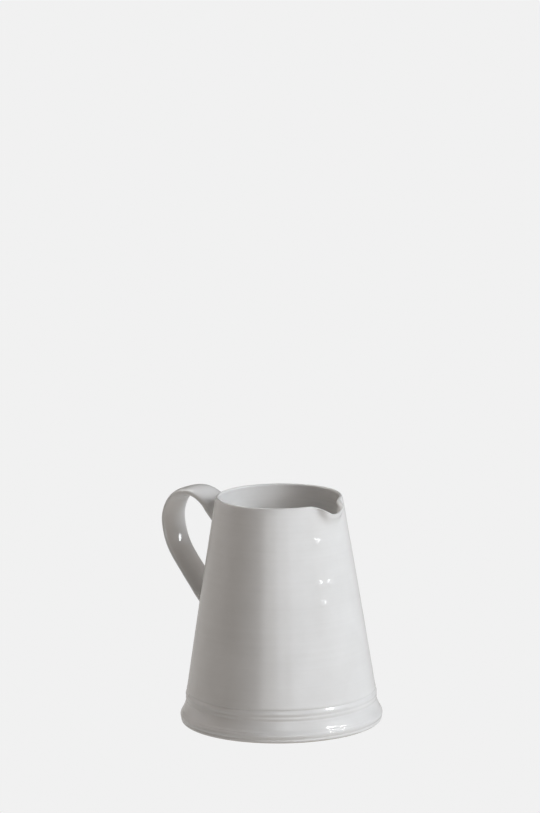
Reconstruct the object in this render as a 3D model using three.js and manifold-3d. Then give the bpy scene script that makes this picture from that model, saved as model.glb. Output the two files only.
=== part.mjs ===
// A hand-thrown stoneware pitcher: a conical wall on a flared, beaded foot, a spout pulled from the lip
// and a strap handle opposite the spout. Millimetres, +Z up. The origin is the centre of the flat base,
// +X points to the spout and -X to the handle.
import * as THREE from "three";
import { mergeVertices } from "three/addons/utils/BufferGeometryUtils.js";
import Module from "manifold-3d";

const wasm = await Module();
wasm.setup();

// ---------------------------------------------------------------- driving dimensions

const HEIGHT = 180; // base to lip
const GAP = 0.3; // between pieces that touch

// The outer wall is a cone that bows very slightly: its radius is a function of height.
const CONE_RADIUS_AT_BASE = 78.5;
const CONE_TAPER = 0.152; // radius lost per millimetre of height
const CONE_BOW = 0.00004;
const WALL_AT_FOOT = 5.4; // thickness where the wall meets the foot
const WALL_AT_LIP = 3.0;

const FOOT_HEIGHT = 24.7; // the joint between foot and wall lies in the uppermost groove
const FLOOR_THICKNESS = 8;
const FLOOR_RADIUS = 68;

const SPOUT_ROOT = 155; // height at which the wall starts to lean out into the spout
const SPOUT_REACH = 7.1; // how far the lip is pushed outwards at the tip
const SPOUT_DROP = 7.9; // how far the lip dips at the tip
const DROP_ANGLE = 13.3; // degrees from the tip over which the dip fades
const SPOUT_ANGLE = 13.4; // degrees from the tip to the middle of either flank of the channel, inside
const FLANK_OFFSET = 3.3; // degrees more for the channel's outside, so that its flanks keep their thickness
const SPOUT_TAPER = 0.35; // how much narrower the channel is at its root
const CRISP_AT_LIP = 10; // how steep the flanks are at the lip, and at the root
const CRISP_AT_ROOT = 2.6;

const STRAP_WIDTH = 27.5;
const STRAP_THICKNESS = 7.3;
const STRAP_ROUNDING = 2.6; // superellipse exponent of the strap's section

const LATHE_SEGMENTS = 90;
const STRAP_STEPS = 30;
const SECTION_POINTS = 14;

// ---------------------------------------------------------------- colours

const GLAZE = { color: 0xe4e3df, roughness: 0.25, metalness: 0 };
const BARE_CLAY = { color: 0xcfc2ad, roughness: 0.85, metalness: 0 };

// ---------------------------------------------------------------- helpers

const outerRadius = (z) => CONE_RADIUS_AT_BASE - CONE_TAPER * z - CONE_BOW * z * z;
const wallThickness = (z) => THREE.MathUtils.mapLinear(z, FOOT_HEIGHT, HEIGHT, WALL_AT_FOOT, WALL_AT_LIP);
const innerRadius = (z) => outerRadius(z) - wallThickness(z);

// An outline of [radius, height] points turned about Z. It runs from the axis out and back to the axis.
function turned(outline) {
  const points = outline.map(([radius, height]) => new THREE.Vector2(radius, height));
  return new THREE.LatheGeometry(points, LATHE_SEGMENTS).rotateX(Math.PI / 2);
}

// The same for a ring, whose outline goes round the section and is closed here.
const turnedRing = (outline) => turned([...outline, outline[0]]);

function solidFrom(geometry) {
  const bare = geometry.clone();
  bare.deleteAttribute("normal");
  bare.deleteAttribute("uv");
  const merged = mergeVertices(bare, 1e-3);
  return new wasm.Manifold(
    new wasm.Mesh({
      numProp: 3,
      vertProperties: merged.attributes.position.array,
      triVerts: new Uint32Array(merged.index.array),
    }),
  );
}

function geometryFrom(solid) {
  const mesh = solid.getMesh();
  const geometry = new THREE.BufferGeometry();
  geometry.setAttribute("position", new THREE.BufferAttribute(mesh.vertProperties, mesh.numProp));
  geometry.setIndex(new THREE.BufferAttribute(mesh.triVerts, 1));
  geometry.computeVertexNormals();
  return geometry;
}

function piece(name, geometry, finish) {
  const mesh = new THREE.Mesh(geometry, new THREE.MeshStandardMaterial(finish));
  mesh.name = name;
  return mesh;
}

// A superellipse of the given width (along x) and thickness (along y), the section of a rounded strap.
function barSection(width, thickness) {
  const fuller = (value) => Math.sign(value) * Math.abs(value) ** (2 / STRAP_ROUNDING);
  return Array.from({ length: SECTION_POINTS }, (_, i) => {
    const angle = (2 * Math.PI * i) / SECTION_POINTS;
    const across = (width / 2) * fuller(Math.cos(angle));
    return new THREE.Vector2(across, (thickness / 2) * fuller(Math.sin(angle)));
  });
}

// ---------------------------------------------------------------- wall, with its lip and spout

// Pushes the lip outwards and down round the +X direction into a steep-sided channel. Below the lip the
// channel narrows, its flanks melt into the wall, and at SPOUT_ROOT it has faded to nothing.
function pullSpout(geometry) {
  const position = geometry.attributes.position;
  for (let i = 0; i < position.count; i++) {
    const x = position.getX(i);
    const y = position.getY(i);
    const z = position.getZ(i);
    const radius = Math.hypot(x, y);
    const rise = Math.max(0, (z - SPOUT_ROOT) / (HEIGHT - SPOUT_ROOT));
    const angle = Math.abs(THREE.MathUtils.radToDeg(Math.atan2(y, x)));
    const depth = THREE.MathUtils.clamp((radius - innerRadius(z)) / wallThickness(z), 0, 1);
    const nearLip = Math.min(1, rise);
    const flank = (SPOUT_ANGLE + FLANK_OFFSET * depth) * (1 - SPOUT_TAPER * (1 - nearLip));
    const crispness = CRISP_AT_ROOT + (CRISP_AT_LIP - CRISP_AT_ROOT) * nearLip ** 3;
    const channel = 1 / (1 + (angle / flank) ** crispness);
    const stretch = 1 + (SPOUT_REACH * channel * rise ** 2) / radius;
    const drop = SPOUT_DROP * Math.min(1, 1.16 * rise) ** 1.5 * Math.exp(-((angle / DROP_ANGLE) ** 2.4));
    position.setXYZ(i, x * stretch, y * stretch, z - drop);
  }
  geometry.computeVertexNormals();
  return geometry;
}

// The half-round lip, from its outer side over the top to its inner side.
function lipOutline() {
  const steps = 6;
  const rounding = WALL_AT_LIP / 2;
  return Array.from({ length: steps + 1 }, (_, i) => {
    const angle = (Math.PI * i) / steps;
    const radius = outerRadius(HEIGHT) - rounding + rounding * Math.cos(angle);
    return [radius, HEIGHT - rounding + rounding * Math.sin(angle)];
  });
}

// The wall starts above the foot's uppermost groove with a slight ridge, then follows the cone.
function bodyWall() {
  const seat = FOOT_HEIGHT + GAP;
  const heights = [60, 100, 135, 155, 161, 166, 170, 174];
  const outline = [
    [outerRadius(seat) - 0.5, seat],
    [outerRadius(seat) + 0.3, seat + 2],
    [outerRadius(seat + 4), seat + 4],
    ...heights.map((z) => [outerRadius(z), z]),
    ...lipOutline(),
    ...heights.toReversed().map((z) => [innerRadius(z), z]),
    [innerRadius(seat), seat],
  ];
  return piece("body_wall", pullSpout(turnedRing(outline)), GLAZE);
}

// ---------------------------------------------------------------- foot

// From the base upwards, on the outside: a bevel and a thin bead, a groove, a full bead, a hollow flare, then
// two thin beads between three fine grooves. The uppermost groove is the joint with the wall.
function footMoulding() {
  const outline = [
    [FLOOR_RADIUS + GAP, 0],
    [77.8, 0],
    [79.6, 1.6],
    [79.4, 3.0],
    [80.2, 4.9],
    [79.9, 6.5],
    [79.2, 7.8],
    [78.2, 9.3],
    [77.1, 11.8],
    [76.0, 14.5],
    [75.3, 16.8],
    [75.6, 18.4],
    [75.1, 19.9],
    [75.7, 22.1],
    [74.4, FOOT_HEIGHT],
    [innerRadius(FOOT_HEIGHT), FOOT_HEIGHT],
    [FLOOR_RADIUS + GAP, FLOOR_THICKNESS],
  ];
  return piece("foot_moulding", turnedRing(outline), GLAZE);
}

function baseFloor() {
  const outline = [
    [0, 0],
    [FLOOR_RADIUS, 0],
    [FLOOR_RADIUS, FLOOR_THICKNESS],
    [0, FLOOR_THICKNESS],
  ];
  return piece("base_floor", turned(outline), BARE_CLAY);
}

// ---------------------------------------------------------------- handle

// Centre line of the strap in the XZ plane, from its upper root over the arch to its lower root.
const strapLine = new THREE.CatmullRomCurve3(
  [
    [48, 148],
    [58, 161.5],
    [67, 169.9],
    [79.7, 175.2],
    [93.4, 172.8],
    [102.3, 164.6],
    [106.4, 150],
    [101.2, 129.7],
    [86.5, 109.5],
    [61, 81.7],
  ].map(([radius, height]) => new THREE.Vector3(-radius, 0, height)),
);

// The strap, or with a margin the space that it needs clear.
function strapSolid(margin) {
  const section = barSection(STRAP_WIDTH + 2 * margin, STRAP_THICKNESS + 2 * margin);
  const options = { steps: STRAP_STEPS, extrudePath: strapLine };
  return solidFrom(new THREE.ExtrudeGeometry(new THREE.Shape(section), options));
}

// The space that the wall fills, hollow and all, with the gap that its neighbours keep.
function wallSpace() {
  const heights = [0, 60, 120, HEIGHT];
  return solidFrom(turned([[0, 0], ...heights.map((z) => [outerRadius(z) + GAP, z]), [0, HEIGHT]]));
}

// A skin through rings of equal point count, closed at both ends by fans.
function loft(rings) {
  const count = rings[0].length;
  const vertices = [...rings.flat(), centreOf(rings[0]), centreOf(rings.at(-1))];
  const first = vertices.length - 2;
  const last = vertices.length - 1;
  const triangles = [];
  for (let j = 0; j < count; j++) {
    const k = (j + 1) % count;
    for (let i = 0; i < rings.length - 1; i++) {
      const a = i * count;
      const b = a + count;
      triangles.push(a + j, b + k, a + k, a + j, b + j, b + k);
    }
    const top = (rings.length - 1) * count;
    triangles.push(first, j, k, last, top + k, top + j);
  }
  return new THREE.BufferGeometry().setFromPoints(vertices).setIndex(triangles);
}

function centreOf(ring) {
  return ring.reduce((sum, point) => sum.add(point), new THREE.Vector3()).divideScalar(ring.length);
}

// The clay worked round a root: wide and thick on the wall, closing onto the strap along its run.
// Each station gives the lower and the upper edge in the XZ plane, as [radius, height], and the width.
function luteSolid(stations) {
  const rings = stations.map(({ lower, upper, width }) => {
    const low = new THREE.Vector3(-lower[0], 0, lower[1]);
    const high = new THREE.Vector3(-upper[0], 0, upper[1]);
    const centre = low.clone().lerp(high, 0.5);
    const across = high.clone().sub(low).normalize();
    const section = barSection(width, low.distanceTo(high));
    return section.map(({ x, y }) => new THREE.Vector3(0, x, 0).addScaledVector(across, y).add(centre));
  });
  return solidFrom(loft(rings));
}

const UPPER_LUTE = [
  { lower: [46, 145], upper: [46, 168], width: 34 },
  { lower: [59.5, 153.5], upper: [53.5, 168.6], width: 30 },
  { lower: [64.2, 159.6], upper: [58.3, 170.8], width: 28 },
  { lower: [69.6, 166.2], upper: [64.6, 174.6], width: 27 },
];
const LOWER_LUTE = [
  { lower: [60, 71], upper: [60, 103], width: 34 },
  { lower: [69.8, 80], upper: [65, 98.5], width: 30 },
  { lower: [73.8, 86.8], upper: [67.3, 97.2], width: 28 },
  { lower: [79.4, 94.2], upper: [72.7, 100.8], width: 27 },
];

const strap = strapSolid(0);
const strapSpace = strapSolid(GAP);
const wall = wallSpace();

function strapHandle() {
  return piece("strap_handle", geometryFrom(strap.subtract(wall)), GLAZE);
}

function lute(name, stations) {
  return piece(name, geometryFrom(luteSolid(stations).subtract(strapSpace).subtract(wall)), GLAZE);
}

// ---------------------------------------------------------------- the pitcher

const pitcher = new THREE.Group();
pitcher.add(
  bodyWall(),
  footMoulding(),
  baseFloor(),
  strapHandle(),
  lute("upper_handle_lute", UPPER_LUTE),
  lute("lower_handle_lute", LOWER_LUTE),
);

export default pitcher;
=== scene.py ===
"""The looks of the white glazed pitcher: detailed meshes, glaze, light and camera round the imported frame.

Metres, +Z up, the origin at the centre of the base. The spout points to +X and the handle to -X.
Shapes are worked out in millimetres and scaled when a mesh is made.
"""

import math

import bmesh
import bpy
import numpy as np
from mathutils import Matrix, Vector


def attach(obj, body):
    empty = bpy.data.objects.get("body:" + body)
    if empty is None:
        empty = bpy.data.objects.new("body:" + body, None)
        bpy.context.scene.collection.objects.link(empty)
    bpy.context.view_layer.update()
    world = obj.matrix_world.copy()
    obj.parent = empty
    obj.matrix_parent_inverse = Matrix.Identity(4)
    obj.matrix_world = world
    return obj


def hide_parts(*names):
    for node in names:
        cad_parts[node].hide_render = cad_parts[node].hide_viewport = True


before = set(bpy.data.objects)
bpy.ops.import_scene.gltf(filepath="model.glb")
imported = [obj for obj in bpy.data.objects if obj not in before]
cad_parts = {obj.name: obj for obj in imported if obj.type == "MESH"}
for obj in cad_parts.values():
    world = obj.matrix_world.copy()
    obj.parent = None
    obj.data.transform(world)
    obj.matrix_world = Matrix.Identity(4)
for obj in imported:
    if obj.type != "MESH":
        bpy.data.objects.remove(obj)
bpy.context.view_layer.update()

MM = 0.001

# ---------------------------------------------------------------- driving dimensions, as in the CAD, in mm

HEIGHT = 180.0
FOOT_HEIGHT = 24.7
FLOOR_THICKNESS = 8.0
FLOOR_RADIUS = 68.0

CONE_RADIUS_AT_BASE = 78.5
CONE_TAPER = 0.152
CONE_BOW = 0.00004
WALL_AT_FOOT = 5.4
WALL_AT_LIP = 2.9

SPOUT_ROOT = 155.0
SPOUT_REACH = 7.1
SPOUT_DROP = 7.9
SPOUT_ANGLE = 13.4  # degrees, as are the next two
FLANK_OFFSET = 3.3
DROP_ANGLE = 13.3
SPOUT_TAPER = 0.35  # how much narrower the channel is at its root
CRISP_AT_LIP = 10.0  # how steep the flanks are at the lip, and at the root
CRISP_AT_ROOT = 2.6
DROP_LEAD = 1.16  # the lip's dip is complete a little below the lip
DROP_CURVE = 1.5
DROP_EDGE = 2.4

STRAP_WIDTH = 27.5
STRAP_THICKNESS = 7.1

JOINT_GAP = 0.15  # half the width of the seam between two pieces of clay


# ---------------------------------------------------------------- curves

def outer_radius(z):
    return CONE_RADIUS_AT_BASE - CONE_TAPER * z - CONE_BOW * z * z


def wall_thickness(z):
    share = (z - FOOT_HEIGHT) / (HEIGHT - FOOT_HEIGHT)
    return WALL_AT_FOOT + (WALL_AT_LIP - WALL_AT_FOOT) * share


def inner_radius(z):
    return outer_radius(z) - wall_thickness(z)


def catmull_rom(points, steps):
    """A smooth curve through the points, with `steps` samples in each span."""
    p = np.asarray(points, float)
    p = np.vstack([2 * p[0] - p[1], p, 2 * p[-1] - p[-2]])
    t = np.linspace(0, 1, steps, endpoint=False)[:, None]
    spans = []
    for a, b, c, d in zip(p[:-3], p[1:-2], p[2:-1], p[3:]):
        spans.append(
            0.5 * (2 * b + (c - a) * t + (2 * a - 5 * b + 4 * c - d) * t**2 + (3 * b - a - 3 * c + d) * t**3)
        )
    return np.vstack([*spans, p[-2:-1]])


# ---------------------------------------------------------------- meshes

def mesh_object(name, rings, closed_profile, sharp_rows=()):
    """A piece from rings of points (ring, point on the ring, xyz) in mm. Each ring closes on itself.

    With closed_profile the last ring joins the first, as on a hollow wall. Otherwise both ends get a cap.
    """
    rings = np.asarray(rings, float) * MM
    count, around = rings.shape[:2]
    mesh = bmesh.new()
    grid = [[mesh.verts.new(p) for p in ring] for ring in rings]
    last = count if closed_profile else count - 1
    for i in range(last):
        lower, upper = grid[i], grid[(i + 1) % count]
        for j in range(around):
            k = (j + 1) % around
            mesh.faces.new((lower[j], lower[k], upper[k], upper[j]))
    if not closed_profile:
        for ring in (grid[0], grid[-1]):
            centre = mesh.verts.new(sum((v.co for v in ring), Vector()) / around)
            for j in range(around):
                mesh.faces.new((ring[j], ring[(j + 1) % around], centre))
    mesh.verts.index_update()
    bmesh.ops.recalc_face_normals(mesh, faces=mesh.faces)
    for face in mesh.faces:
        face.smooth = True
    for i in sharp_rows:
        row = set(grid[i])
        for vertex in row:
            for edge in vertex.link_edges:
                if edge.other_vert(vertex) in row:
                    edge.smooth = False
    data = bpy.data.meshes.new(name)
    mesh.to_mesh(data)
    mesh.free()
    piece = bpy.data.objects.new(name, data)
    bpy.context.scene.collection.objects.link(piece)
    return piece


def turned_rings(profile, angles):
    """Rings of a profile of (radius, height) points turned about Z."""
    radius, height = np.asarray(profile, float).T
    x = radius[:, None] * np.cos(angles)
    y = radius[:, None] * np.sin(angles)
    z = np.broadcast_to(height[:, None], x.shape)
    return np.stack([x, y, z], axis=-1)


EVEN_ANGLES = np.linspace(-math.pi, math.pi, 216, endpoint=False)
# The wall has finer steps through the spout, which is narrow.
SPOUT_HALF = math.radians(42)
WALL_ANGLES = np.concatenate(
    [
        np.linspace(-SPOUT_HALF, SPOUT_HALF, 84, endpoint=False),
        np.linspace(SPOUT_HALF, 2 * math.pi - SPOUT_HALF, 150, endpoint=False),
    ]
)


def wander(z, angle, pitch, seed):
    """The uneven rings a potter's fingers leave, from -1 to 1: a spiral of the given pitch that drifts."""
    rng = np.random.default_rng(seed)
    total = np.zeros(np.broadcast(z, angle).shape)
    for octave in range(4):
        turns = rng.integers(-1, 2)
        phase = rng.uniform(0, 2 * math.pi)
        step = pitch * rng.uniform(0.7, 1.6)
        sway = 0.6 * np.sin(angle * (octave + 1) + rng.uniform(0, 2 * math.pi))
        total += np.sin(2 * math.pi * z / step + turns * angle + phase + sway)
    return total / 3


# ---------------------------------------------------------------- wall

def pull_spout(rings):
    """Leans the lip out and down into the steep-sided spout, which narrows towards its root."""
    x, y, z = np.moveaxis(rings, -1, 0)
    radius = np.hypot(x, y)
    rise = np.clip((z - SPOUT_ROOT) / (HEIGHT - SPOUT_ROOT), 0, None)
    angle = np.abs(np.degrees(np.arctan2(y, x)))
    depth = np.clip((radius - inner_radius(z)) / wall_thickness(z), 0, 1)
    near_lip = np.minimum(1, rise)
    flank = (SPOUT_ANGLE + FLANK_OFFSET * depth) * (1 - SPOUT_TAPER * (1 - near_lip))
    crispness = CRISP_AT_ROOT + (CRISP_AT_LIP - CRISP_AT_ROOT) * near_lip**3
    channel = 1 / (1 + (angle / flank) ** crispness)
    stretch = 1 + SPOUT_REACH * channel * rise**2 / radius
    dip = np.minimum(1, DROP_LEAD * rise) ** DROP_CURVE
    drop = SPOUT_DROP * dip * np.exp(-((angle / DROP_ANGLE) ** DROP_EDGE))
    return np.stack([x * stretch, y * stretch, z - drop], axis=-1)


# Soft raised marks in the glaze: degrees from the spout, height, how far each stands out.
FINGER_MARKS = [(-19.5, 151.6, 0.185), (-21.6, 119.8, 0.33), (-11.5, 119.2, 0.43), (-19.5, 103.9, 0.39)]
MARK_HEIGHT = 2.6
MARK_WIDTH = 3.4

# The rings that the potter's fingers left, outside and inside: depth, pitch, seed.
OUTER_RINGS = (0.03, 9.0, 11)
INNER_RINGS = (0.1, 2.6, 5)


def finger_marks(z, angle):
    """How far the marks stand out of the wall, in mm."""
    total = np.zeros(np.broadcast(z, angle).shape)
    for place, height, depth in FINGER_MARKS:
        across = (angle - math.radians(place)) * outer_radius(height)
        total += depth * np.exp(-((across / MARK_WIDTH) ** 2) - ((z - height) / MARK_HEIGHT) ** 2)
    return total


def make_wall():
    """The conical wall with its rounded lip, its throwing rings, its finger marks and its spout."""
    seat = FOOT_HEIGHT + JOINT_GAP
    shoulder = HEIGHT - 6.0
    outer_z = np.linspace(seat + 3.2, shoulder, 240)
    inner_z = np.concatenate([np.linspace(shoulder, 110, 110, endpoint=False), np.linspace(110, seat, 34)])
    rounding = WALL_AT_LIP / 2 - JOINT_GAP
    turn = np.linspace(0, math.pi, 15)
    lip_centre = outer_radius(HEIGHT) - rounding - 0.1
    lip_x = lip_centre + rounding * np.cos(turn)
    lip_z = HEIGHT - rounding + rounding * np.sin(turn)
    lip = np.stack([lip_x, lip_z], axis=-1)
    ridge = [
        (outer_radius(seat) - 0.13, seat),
        (outer_radius(seat) - 0.06, seat + 0.5),
        (outer_radius(seat) + 0.05, seat + 1.1),
        (outer_radius(seat + 2) + 0.16, seat + 2.0),
    ]
    neck_z = [HEIGHT - 4.2, HEIGHT - 2.6]
    profile = np.array(
        [
            *ridge,
            *[(outer_radius(z), z) for z in outer_z],
            *[(outer_radius(z) - 0.03, z) for z in neck_z],
            *lip,
            *[(inner_radius(z) + 0.15, z) for z in reversed(neck_z)],
            *[(inner_radius(z), z) for z in inner_z],
        ]
    )
    rings = turned_rings(profile, WALL_ANGLES)
    outside = slice(len(ridge), len(ridge) + len(outer_z))
    inside = slice(len(profile) - len(inner_z), len(profile) - 1)
    for part, (depth, pitch, seed) in ((outside, OUTER_RINGS), (inside, INNER_RINGS)):
        z = rings[part, :, 2]
        fade = np.clip((z - seat) / 12, 0, 1) * np.clip((HEIGHT - 3 - z) / 6, 0, 1)
        push = depth * fade * wander(z, WALL_ANGLES[None, :], pitch, seed)
        if part is outside:
            push += finger_marks(z, WALL_ANGLES[None, :])
        else:
            push *= 0.6 + 0.4 * np.cos(WALL_ANGLES)  # the rings inside are stronger towards the spout
        scale = 1 + push / np.hypot(rings[part, :, 0], rings[part, :, 1])
        rings[part, :, 0] *= scale
        rings[part, :, 1] *= scale
    wall = mesh_object("jug_wall", pull_spout(rings), True, sharp_rows=(0, len(profile) - 1))
    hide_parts("body_wall")
    return wall


# ---------------------------------------------------------------- foot and floor

# Outside of the foot from the base upwards: a bevel and a thin bead, a groove, a full bead, a hollow flare
# and two fine beads.
FOOT_OUTLINE = [
    (77.6, 0.0), (78.5, 0.4), (79.1, 1.0), (79.4, 1.8), (79.33, 2.5), (79.25, 2.95),
    (79.4, 3.5), (79.75, 4.3), (79.95, 5.2), (79.9, 6.1), (79.65, 6.85), (79.27, 7.4),
    (79.07, 7.85), (78.87, 8.35), (78.2, 9.3), (77.6, 10.5), (77.05, 11.8), (76.5, 13.1),
    (76.0, 14.5), (75.68, 15.6), (75.46, 16.3), (75.36, 16.8), (75.42, 17.5), (75.52, 18.4),
    (75.42, 19.2), (75.26, 19.9), (75.34, 20.7), (75.56, 21.8), (75.46, 22.6), (75.25, 23.2),
    (74.97, 23.8), (74.64, 24.5),
]


def make_foot():
    """The turned foot: the outline outside, the cone inside, and a seat for the wall on top."""
    outside = catmull_rom(FOOT_OUTLINE, 4)
    inside_top = (inner_radius(FOOT_HEIGHT), FOOT_HEIGHT + 0.1)
    inner = [(inner_radius(z), z) for z in np.linspace(FOOT_HEIGHT, FLOOR_THICKNESS, 8)]
    bore = FLOOR_RADIUS + JOINT_GAP
    seat = (74.5, FOOT_HEIGHT + 0.1)
    profile = [(bore, 0.0), *outside, seat, inside_top, *inner, (bore, FLOOR_THICKNESS)]
    sharp_rows = (0, 1, len(outside) + 1, len(outside) + 2)
    foot = mesh_object("jug_foot", turned_rings(profile, EVEN_ANGLES), True, sharp_rows)
    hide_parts("foot_moulding")
    return foot


def make_floor():
    """The clay disc under the jug, and over it the glaze pooled into a soft curve against the wall."""
    middle = 2.0  # the radius of the flat cap at the axis
    r = np.linspace(middle, FLOOR_RADIUS + 0.1, 60)
    top = FLOOR_THICKNESS - 0.6
    underside = [(x, 0.05 + 0.05 * math.sin(x * 1.1)) for x in r]
    upper = [(x, top) for x in r[::-1]]
    rim = (len(r) - 1, len(r))
    disc = mesh_object("jug_floor", turned_rings([*underside, *upper], EVEN_ANGLES), False, rim)
    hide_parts("base_floor")
    radius = 10.0  # of the curve between the floor and the wall
    reach = inner_radius(FLOOR_THICKNESS + radius) - 0.05
    curve = np.linspace(0, math.pi / 2, 14)
    rise = [
        (reach - radius + radius * math.sin(t), FLOOR_THICKNESS + radius * (1 - math.cos(t)))
        for t in curve
    ]
    flat_x = np.linspace(middle, reach - radius, 40, endpoint=False)
    flat = [(x, FLOOR_THICKNESS + 0.12 * math.sin(x * 0.9)) for x in flat_x]
    under = [(reach + 0.5, FLOOR_THICKNESS + radius), (reach + 0.5, top + 0.1), (middle, top + 0.1)]
    pool = mesh_object("floor_glaze", turned_rings([*flat, *rise, *under], EVEN_ANGLES), False)
    return disc, pool


# ---------------------------------------------------------------- handle

# The middle line of the strap from its upper root to its lower one: distance from the axis, height.
STRAP_LINE = [
    (58.0, 161.5), (67.0, 169.9), (79.7, 175.2), (93.4, 172.8), (102.3, 164.6), (106.4, 150.0),
    (101.2, 129.7), (86.5, 109.5), (70.4, 91.2),
]
SECTION_POINTS = 56
FULLNESS = 2.3  # 2 is an ellipse, and more is squarer


def section(width, thickness):
    """The strap's section, a superellipse: places across the strap, and places through it."""
    turn = np.linspace(0, 2 * math.pi, SECTION_POINTS, endpoint=False)
    power = 2 / FULLNESS
    across = width / 2 * np.sign(np.cos(turn)) * np.abs(np.cos(turn)) ** power
    through = thickness / 2 * np.sign(np.sin(turn)) * np.abs(np.sin(turn)) ** power
    return across, through


def reach_wall(points, direction):
    """How far each point is from the wall's outside along the direction."""
    low, high = np.zeros(len(points)), np.full(len(points), 60.0)
    for _ in range(40):
        middle = (low + high) / 2
        p = points + direction * middle[:, None]
        inside = np.hypot(p[:, 0], p[:, 1]) < outer_radius(p[:, 2])
        high = np.where(inside, middle, high)
        low = np.where(inside, low, middle)
    return low


def root_rings(ring, direction, fillet):
    """Rings that carry the strap's end on to the wall and spread there in a fillet of the given radius."""
    centre = ring.mean(axis=0)
    far = reach_wall(ring, direction)
    landed = ring + direction * far[:, None]
    spread = landed - (centre + direction * reach_wall(centre[None], direction)[0])
    spread /= np.linalg.norm(spread, axis=1)[:, None]
    rings = []
    for share in np.linspace(0.08, 1.0, 14):
        left = far * (1 - share)
        height = np.clip(1 - left / fillet, 0, 1)
        swell = fillet * (1 - np.sqrt(1 - height**2))
        rings.append(ring + direction * (far * share)[:, None] + spread * swell[:, None])
    rings.append(rings[-1] + direction * 1.5)
    return rings


def make_handle():
    """The strap along its line. It swells towards both roots and ends in fillets on the wall."""
    line = catmull_rom(STRAP_LINE, 16)
    tangent = np.gradient(line, axis=0)
    tangent /= np.linalg.norm(tangent, axis=1)[:, None]
    normal = np.stack([tangent[:, 1], -tangent[:, 0]], axis=-1)
    count = len(line)
    share = np.linspace(0, 1, count)
    rings = []
    for i in range(count):
        upper_swell = math.exp(-max(0, line[i, 0] - 55) / 9) if share[i] < 0.5 else 0
        lower_swell = math.exp(-max(0, line[i, 0] - 66) / 6) if share[i] > 0.5 else 0
        width = STRAP_WIDTH + 5 * upper_swell + 6 * lower_swell
        thickness = STRAP_THICKNESS + 9.5 * upper_swell + 9 * lower_swell
        across, through = section(width, thickness)
        plane = line[i] - normal[i] * through[:, None]
        rings.append(np.stack([-plane[:, 0], across, plane[:, 1]], axis=-1))
    rings = np.array(rings)
    first, last = 6, count - 5
    start = np.array([tangent[first, 0], 0, -tangent[first, 1]])
    end = np.array([-tangent[last, 0], 0, tangent[last, 1]])
    upper = root_rings(rings[first], start, 3.0)
    lower = root_rings(rings[last], end, 4.0)
    strap = [*reversed(upper), *rings[first:last + 1], *lower]
    handle = mesh_object("strap", strap, False)
    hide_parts("strap_handle", "upper_handle_lute", "lower_handle_lute")
    return handle


# ---------------------------------------------------------------- materials

def node(tree, kind, **inputs):
    made = tree.nodes.new(kind)
    for key, value in inputs.items():
        made.inputs[key.replace("_", " ")].default_value = value
    return made


def ramp(tree, source, stops):
    made = tree.nodes.new("ShaderNodeValToRGB")
    elements = made.color_ramp.elements
    while len(elements) < len(stops):
        elements.new(0.5)
    for element, (position, colour) in zip(elements, stops):
        element.position = position
        element.color = (*colour, 1) if len(colour) == 3 else colour
    tree.links.new(source, made.inputs[0])
    return made


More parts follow.
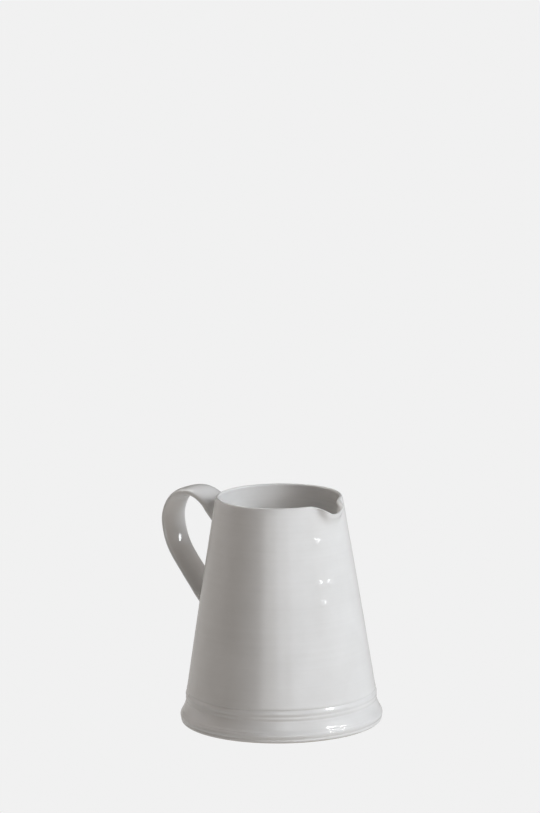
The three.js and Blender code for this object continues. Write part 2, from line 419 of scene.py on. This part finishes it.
def glaze_material():
    """White satin-gloss glaze: faint mottling and throwing rings, and a darker warm brown, rougher band at
    the base edge.
    """
    material = bpy.data.materials.new("white_glaze")
    material.use_nodes = True
    tree = material.node_tree
    link = tree.links.new
    shader = tree.nodes["Principled BSDF"]
    shader.inputs["IOR"].default_value = 1.5
    shader.inputs["Specular IOR Level"].default_value = 0.3
    shader.inputs["Coat Weight"].default_value = 0.7
    shader.inputs["Coat Roughness"].default_value = 0.07
    place = tree.nodes.new("ShaderNodeTexCoord")

    mottle = node(tree, "ShaderNodeTexNoise", Scale=28.0, Detail=4.0, Roughness=0.55)
    link(place.outputs["Object"], mottle.inputs["Vector"])
    tone = ramp(tree, mottle.outputs["Fac"], [(0.3, (0.80, 0.797, 0.785)), (0.7, (0.86, 0.857, 0.847))])

    stretch = node(tree, "ShaderNodeMapping")
    stretch.inputs["Scale"].default_value = (6.0, 6.0, 420.0)
    link(place.outputs["Object"], stretch.inputs["Vector"])
    streaks = node(tree, "ShaderNodeTexNoise", Scale=1.0, Detail=3.0, Roughness=0.6)
    link(stretch.outputs["Vector"], streaks.inputs["Vector"])
    streak_tone = ramp(tree, streaks.outputs["Fac"], [(0.3, (0.982, 0.981, 0.978)), (0.7, (1, 1, 1))])
    tinted = tree.nodes.new("ShaderNodeMixRGB")
    tinted.blend_type = "MULTIPLY"
    tinted.inputs["Fac"].default_value = 1.0
    link(tone.outputs["Color"], tinted.inputs["Color1"])
    link(streak_tone.outputs["Color"], tinted.inputs["Color2"])

    specks = node(tree, "ShaderNodeTexVoronoi", Scale=95.0)
    link(place.outputs["Object"], specks.inputs["Vector"])
    speck_mask = ramp(tree, specks.outputs["Distance"], [(0.0, (1, 1, 1)), (0.035, (0, 0, 0))])
    speckled = tree.nodes.new("ShaderNodeMixRGB")
    link(speck_mask.outputs["Color"], speckled.inputs["Fac"])
    link(tinted.outputs["Color"], speckled.inputs["Color1"])
    speckled.inputs["Color2"].default_value = (0.62, 0.60, 0.56, 1)

    # A darker warm brown band, fully rough, over the lowest millimetre or so of the base edge, with a wavy
    # top.
    split = tree.nodes.new("ShaderNodeSeparateXYZ")
    link(place.outputs["Object"], split.inputs["Vector"])
    wobble = node(tree, "ShaderNodeTexNoise", Scale=60.0, Detail=3.0)
    link(place.outputs["Object"], wobble.inputs["Vector"])
    height = tree.nodes.new("ShaderNodeMath")
    height.operation = "MULTIPLY_ADD"
    link(wobble.outputs["Fac"], height.inputs[0])
    height.inputs[1].default_value = 0.0006
    link(split.outputs["Z"], height.inputs[2])
    base_band = tree.nodes.new("ShaderNodeMapRange")
    base_band.inputs["From Min"].default_value = 0.0007
    base_band.inputs["From Max"].default_value = 0.0013
    base_band.inputs["To Min"].default_value = 1.0
    base_band.inputs["To Max"].default_value = 0.0
    link(height.outputs["Value"], base_band.inputs["Value"])
    edged = tree.nodes.new("ShaderNodeMixRGB")
    link(base_band.outputs["Result"], edged.inputs["Fac"])
    link(speckled.outputs["Color"], edged.inputs["Color1"])
    edged.inputs["Color2"].default_value = (0.46, 0.39, 0.31, 1)
    link(edged.outputs["Color"], shader.inputs["Base Color"])

    gloss = node(tree, "ShaderNodeTexNoise", Scale=45.0, Detail=3.0)
    link(place.outputs["Object"], gloss.inputs["Vector"])
    rough = tree.nodes.new("ShaderNodeMapRange")
    rough.inputs["To Min"].default_value = 0.36
    rough.inputs["To Max"].default_value = 0.5
    link(gloss.outputs["Fac"], rough.inputs["Value"])
    rougher = tree.nodes.new("ShaderNodeMath")
    rougher.operation = "MAXIMUM"
    link(rough.outputs["Result"], rougher.inputs[0])
    link(base_band.outputs["Result"], rougher.inputs[1])
    link(rougher.outputs["Value"], shader.inputs["Roughness"])

    peel = node(tree, "ShaderNodeTexNoise", Scale=260.0, Detail=2.0)
    link(place.outputs["Object"], peel.inputs["Vector"])
    fine = node(tree, "ShaderNodeBump", Strength=0.35, Distance=0.00006)
    link(peel.outputs["Fac"], fine.inputs["Height"])
    ringed = node(tree, "ShaderNodeBump", Strength=0.6, Distance=0.00006)
    link(streaks.outputs["Fac"], ringed.inputs["Height"])
    link(fine.outputs["Normal"], ringed.inputs["Normal"])
    link(ringed.outputs["Normal"], shader.inputs["Normal"])
    return material


def clay_material():
    """Unglazed pale stoneware under the foot, with the fine grog and the curved marks of the cutting wire."""
    material = bpy.data.materials.new("bare_clay")
    material.use_nodes = True
    tree = material.node_tree
    link = tree.links.new
    shader = tree.nodes["Principled BSDF"]
    shader.inputs["Specular IOR Level"].default_value = 0.3
    place = tree.nodes.new("ShaderNodeTexCoord")
    grain = node(tree, "ShaderNodeTexNoise", Scale=700.0, Detail=5.0, Roughness=0.7)
    link(place.outputs["Object"], grain.inputs["Vector"])
    tone = ramp(tree, grain.outputs["Fac"], [(0.3, (0.63, 0.56, 0.47)), (0.7, (0.78, 0.71, 0.61))])
    link(tone.outputs["Color"], shader.inputs["Base Color"])
    rough = tree.nodes.new("ShaderNodeMapRange")
    rough.inputs["To Min"].default_value = 0.75
    rough.inputs["To Max"].default_value = 0.95
    link(grain.outputs["Fac"], rough.inputs["Value"])
    link(rough.outputs["Result"], shader.inputs["Roughness"])
    shift = node(tree, "ShaderNodeMapping")
    shift.inputs["Location"].default_value = (0.11, 0.03, 0)
    link(place.outputs["Object"], shift.inputs["Vector"])
    wire = node(tree, "ShaderNodeTexWave", Scale=90.0, Distortion=1.2, Detail=2.0)
    wire.wave_type = "RINGS"
    wire.rings_direction = "Z"
    link(shift.outputs["Vector"], wire.inputs["Vector"])
    marks = node(tree, "ShaderNodeBump", Strength=0.5, Distance=0.0002)
    link(wire.outputs["Fac"], marks.inputs["Height"])
    grog = node(tree, "ShaderNodeBump", Strength=0.5, Distance=0.0001)
    link(grain.outputs["Fac"], grog.inputs["Height"])
    link(marks.outputs["Normal"], grog.inputs["Normal"])
    link(grog.outputs["Normal"], shader.inputs["Normal"])
    return material


# ---------------------------------------------------------------- the pitcher

glaze = glaze_material()
clay = clay_material()
disc, pool = make_floor()
for piece, material, slot in (
    (make_wall(), glaze, "white_glaze"),
    (make_foot(), glaze, "white_glaze"),
    (make_handle(), glaze, "white_glaze"),
    (pool, glaze, "white_glaze"),
    (disc, clay, "bare_clay"),
):
    piece.data.materials.append(material)
    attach(piece, "root")


# ---------------------------------------------------------------- camera

AZIMUTH = math.radians(37.4)
PITCH = math.radians(10.615)
ROLL = -0.0122834  # radians
LENS = 201.27
CAMERA_PLACE = (-6.153, 3492.815, 905.931)  # to the right of the jug, in front of it and above its base
RIGHT = Vector((math.cos(AZIMUTH), math.sin(AZIMUTH), 0))
AWAY = Vector((-math.sin(AZIMUTH), math.cos(AZIMUTH), 0))
UP = Vector((0, 0, 1))


def make_camera():
    forward = math.cos(PITCH) * AWAY - math.sin(PITCH) * UP
    down = -math.sin(PITCH) * AWAY - math.cos(PITCH) * UP
    across = math.cos(ROLL) * RIGHT - math.sin(ROLL) * down
    below = math.sin(ROLL) * RIGHT + math.cos(ROLL) * down
    right, front, above = CAMERA_PLACE
    place = (right * RIGHT - front * AWAY + above * UP) * MM
    turn = Matrix((across, -below, -forward)).transposed()
    camera = bpy.data.objects.new("camera", bpy.data.cameras.new("camera"))
    camera.data.lens = LENS
    camera.data.clip_end = 50
    camera.matrix_world = Matrix.Translation(place) @ turn.to_4x4()
    bpy.context.scene.collection.objects.link(camera)
    bpy.context.scene.camera = camera


make_camera()


# ---------------------------------------------------------------- studio

# Each light: name, degrees round from the camera to its right, degrees up, width and height in metres,
# radiance, colour, and what it does. "fill" only lights the jug and "shine" is only mirrored by it. Any other
# word is the name of the one piece that mirrors the light.
LIGHTS = [
    ("window", 68, 28, 1.0, 0.9, 7.1, (0.87, 0.93, 1.0), "fill"),
    ("window_near", 45, 20, 0.6, 0.6, 2.95, (1.0, 0.95, 0.88), "fill"),
    ("front", 20, 20, 0.6, 0.6, 2.2, (1.0, 0.82, 0.72), "fill"),
    ("back_left", -135, 52, 0.7, 0.7, 5.6, (1.0, 0.98, 0.98), "fill"),
    ("left", -110, 30, 0.6, 0.6, 1.75, (1.0, 0.72, 0.42), "fill"),
    ("back_right", 145, 26, 0.9, 0.8, 2.3, (1.0, 0.9, 0.86), "fill"),
    ("shine_left", -135, 52, 0.9, 0.9, 6.8, (0.96, 1.0, 0.99), "shine"),
    ("shine_right", 145, 26, 0.9, 0.8, 3.1, (1.0, 0.95, 0.9), "shine"),
    ("above", 10, 80, 1.2, 1.2, 0.3, (1.0, 1.0, 1.0), "fill"),
    ("pane_left", 63, 28, 0.30, 0.22, 45.0, (1.0, 1.0, 1.0), "shine"),
    ("pane_right", 79, 28, 0.20, 0.22, 45.0, (1.0, 1.0, 1.0), "shine"),
    ("wall_glint", 70, 9, 0.7, 0.06, 18.0, (1.0, 1.0, 1.0), "jug_wall"),
    ("strap_glint", 107, 17.9, 0.09, 0.25, 24.0, (0.93, 0.96, 1.0), "strap"),
]
DISTANCE = 1.7  # from the lights to the centre of the jug

# Soft glows of the room, which only the glaze shows: name, degrees round, degrees up, how narrow, radiance
# and colour.
GLOWS = [
    ("front_left", -18, 5, 80.0, 2.35, (0.98, 1.0, 1.0)),
    ("front", 0, 5, 80.0, 3.15, (0.92, 0.96, 1.0)),
    ("front_right", 18, 5, 80.0, 2.8, (0.9, 0.95, 1.0)),
    ("near_right", 29, 5, 80.0, 1.1, (0.85, 0.92, 1.0)),
    ("right", 40, 5, 60.0, 1.7, (0.88, 0.94, 1.0)),
    ("front_high", 6, 28, 30.0, 2.6, (0.95, 0.98, 1.0)),
    ("left", -110, 10, 8.0, 0.8, (0.96, 0.95, 1.0)),
]
CENTRE = Vector((0, 0, 0.09))


def towards(turn, rise):
    """The direction so many degrees round from the camera to its right and so many degrees up."""
    turn, rise = math.radians(turn), math.radians(rise)
    return math.cos(rise) * (math.sin(turn) * RIGHT - math.cos(turn) * AWAY) + math.sin(rise) * UP


def make_light(name, turn, rise, width, height, radiance, colour, work):
    out = towards(turn, rise)
    lamp = bpy.data.lights.new(name, "AREA")
    lamp.shape = "RECTANGLE"
    lamp.size = width
    lamp.size_y = height
    lamp.energy = radiance * width * height * math.pi
    lamp.color = colour
    light = bpy.data.objects.new(name, lamp)
    light.location = CENTRE + out * DISTANCE
    light.rotation_mode = "QUATERNION"
    light.rotation_quaternion = out.to_track_quat("Z", "Y")
    light.visible_camera = False
    light.visible_glossy = work != "fill"
    light.visible_diffuse = work == "fill"
    if work in bpy.data.objects:
        only = bpy.data.collections.new(name)
        only.objects.link(bpy.data.objects[work])
        light.light_linking.receiver_collection = only
    bpy.context.scene.collection.objects.link(light)


def math_node(tree, operation, first, second):
    made = tree.nodes.new("ShaderNodeMath")
    made.operation = operation
    tree.links.new(first, made.inputs[0])
    made.inputs[1].default_value = second
    return made.outputs["Value"]


def glow_colour(tree, glows):
    """The colour of the room in each direction: the sum of smooth lobes."""
    place = tree.nodes.new("ShaderNodeTexCoord")
    total = None
    for _, turn, rise, narrowness, radiance, colour in glows:
        along = tree.nodes.new("ShaderNodeVectorMath")
        along.operation = "DOT_PRODUCT"
        tree.links.new(place.outputs["Generated"], along.inputs[0])
        along.inputs[1].default_value = towards(turn, rise)
        fall = math_node(tree, "SUBTRACT", along.outputs["Value"], 1.0)
        fall = math_node(tree, "MULTIPLY", fall, narrowness)
        fall = math_node(tree, "EXPONENT", fall, 0.0)
        tint = tree.nodes.new("ShaderNodeVectorMath")
        tint.operation = "SCALE"
        tint.inputs[0].default_value = [radiance * channel for channel in colour]
        tree.links.new(fall, tint.inputs["Scale"])
        if total is None:
            total = tint.outputs["Vector"]
            continue
        both = tree.nodes.new("ShaderNodeVectorMath")
        both.operation = "ADD"
        tree.links.new(total, both.inputs[0])
        tree.links.new(tint.outputs["Vector"], both.inputs[1])
        total = both.outputs["Vector"]
    return total


PALE = 0.879  # the floor and the backdrop, as the camera sees them
TABLE_BOUNCE = (0.48, 0.47, 0.46)  # what the floor sends back up to the jug


def make_studio():
    """A floor and a world that look pale to the camera and are dimmer to the jug, so as not to flood it."""
    mesh = bmesh.new()
    bmesh.ops.create_circle(mesh, cap_ends=True, segments=96, radius=12)
    data = bpy.data.meshes.new("floor")
    mesh.to_mesh(data)
    mesh.free()
    floor = bpy.data.objects.new("floor", data)
    bpy.context.scene.collection.objects.link(floor)
    material = bpy.data.materials.new("floor")
    material.use_nodes = True
    tree = material.node_tree
    tree.nodes.clear()
    tone = tree.nodes.new("ShaderNodeMixRGB")
    tree.links.new(tree.nodes.new("ShaderNodeLightPath").outputs["Is Camera Ray"], tone.inputs["Fac"])
    tone.inputs["Color1"].default_value = (*TABLE_BOUNCE, 1)
    tone.inputs["Color2"].default_value = (PALE, PALE, PALE, 1)
    glow = node(tree, "ShaderNodeEmission", Strength=1.0)
    tree.links.new(tone.outputs["Color"], glow.inputs["Color"])
    out = tree.nodes.new("ShaderNodeOutputMaterial")
    tree.links.new(glow.outputs[0], out.inputs["Surface"])
    data.materials.append(material)

    world = bpy.data.worlds.new("studio")
    bpy.context.scene.world = world
    world.use_nodes = True
    tree = world.node_tree
    tree.nodes.clear()
    seen = node(tree, "ShaderNodeBackground", Color=(PALE, PALE, PALE, 1), Strength=1.0)
    lit = node(tree, "ShaderNodeBackground", Strength=1.0)
    tree.links.new(glow_colour(tree, GLOWS), lit.inputs["Color"])
    world.cycles_visibility.diffuse = False
    path = tree.nodes.new("ShaderNodeLightPath")
    mix = tree.nodes.new("ShaderNodeMixShader")
    out = tree.nodes.new("ShaderNodeOutputWorld")
    tree.links.new(path.outputs["Is Camera Ray"], mix.inputs[0])
    tree.links.new(lit.outputs[0], mix.inputs[1])
    tree.links.new(seen.outputs[0], mix.inputs[2])
    tree.links.new(mix.outputs[0], out.inputs["Surface"])


for light in LIGHTS:
    make_light(*light)
make_studio()
bpy.context.scene.view_settings.view_transform = "Standard"
